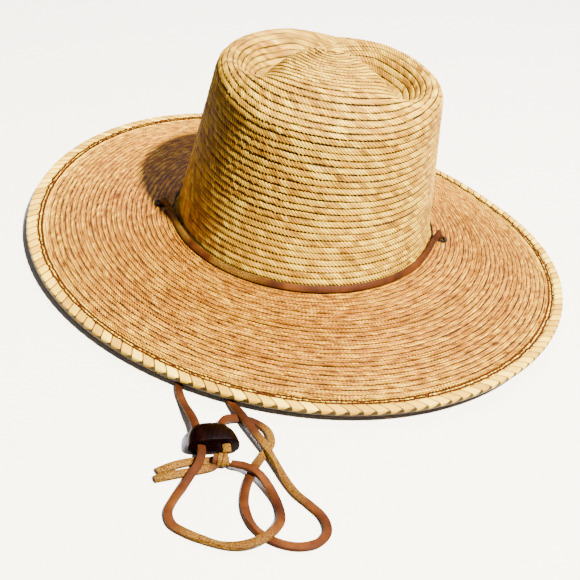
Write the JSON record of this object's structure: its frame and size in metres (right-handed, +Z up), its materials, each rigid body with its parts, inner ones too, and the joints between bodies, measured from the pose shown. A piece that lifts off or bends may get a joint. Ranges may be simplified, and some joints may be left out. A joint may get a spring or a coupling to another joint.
{
  "type": "straw fedora with chin lace",
  "caption": "Wide-brimmed fedora of sewn straw braid with a dented teardrop crown, a plaited brim edge, two eyelets and a leather chin lace with a slider.",
  "frame": {"origin": "middle of the brim's outline in plan, on the plane that the hat rests on", "axes": "+Z up, +Y towards the hat's front, +X towards the wearer's right"},
  "size_m": [0.376, 0.5041, 0.1401],
  "materials": {
    "straw_crown": "sewn palm straw braid, matte with a dry sheen",
    "straw_brim": "sewn palm straw braid, matte with a dry sheen",
    "straw_edge": "plaited pale straw",
    "black_metal": "black enamel",
    "lace_leather": "oiled leather lace with suede edges",
    "dark_wood": "polished and lacquered"
  },
  "bodies": {
    "root": {"crown": "straw_crown", "brim": "straw_brim", "brim_edge": "straw_edge", "eyelet_left": "black_metal", "eyelet_right": "black_metal", "lace_band": "lace_leather", "lace_left": "lace_leather", "lace_right": "lace_leather", "tail_1": "lace_leather", "tail_2": "lace_leather", "knot": "lace_leather", "slider": "dark_wood"}
  },
  "joints": []
}
